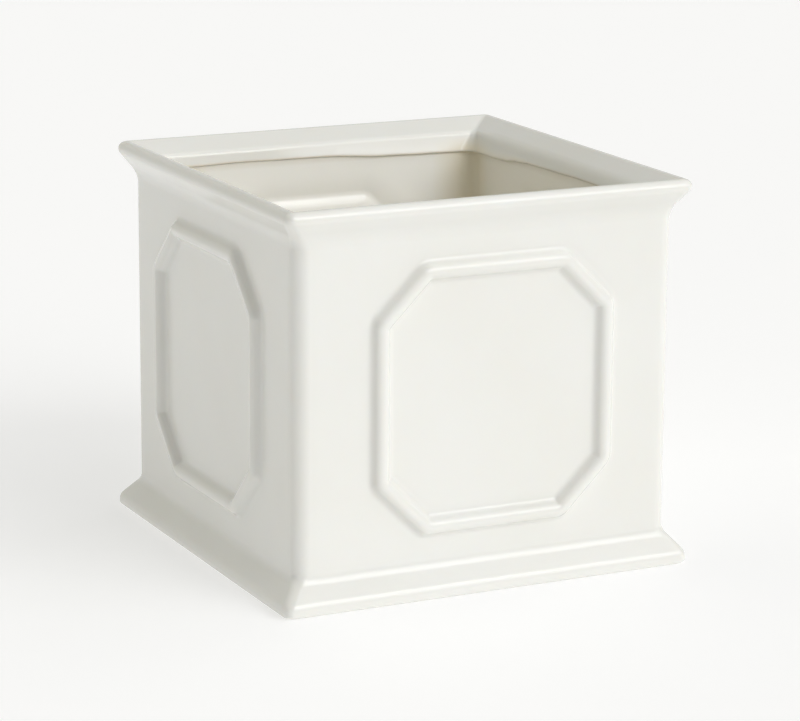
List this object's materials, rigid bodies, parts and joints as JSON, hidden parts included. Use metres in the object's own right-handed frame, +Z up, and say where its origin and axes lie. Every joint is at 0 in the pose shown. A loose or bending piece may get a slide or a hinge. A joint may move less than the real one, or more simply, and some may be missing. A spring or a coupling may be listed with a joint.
{
  "type": "cachepot",
  "caption": "Square glazed ceramic cachepot with a coved rim whose top slopes in to a trimmed lip, a coved base and a bold octagon moulding on each side.",
  "frame": {"origin": "centre of the square footprint, on the surface that the pot stands on", "axes": "+Z up along the pot's middle; the four sides face +X, -X, +Y and -Y and are alike"},
  "size_m": [0.2076, 0.2076, 0.184],
  "materials": {
    "glazed_body": "glossy",
    "pad_rubber": "matte"
  },
  "bodies": {
    "root": {"pot_body": "glazed_body", "foot_pad_1": "pad_rubber", "foot_pad_2": "pad_rubber", "foot_pad_3": "pad_rubber", "foot_pad_4": "pad_rubber"}
  },
  "joints": []
}
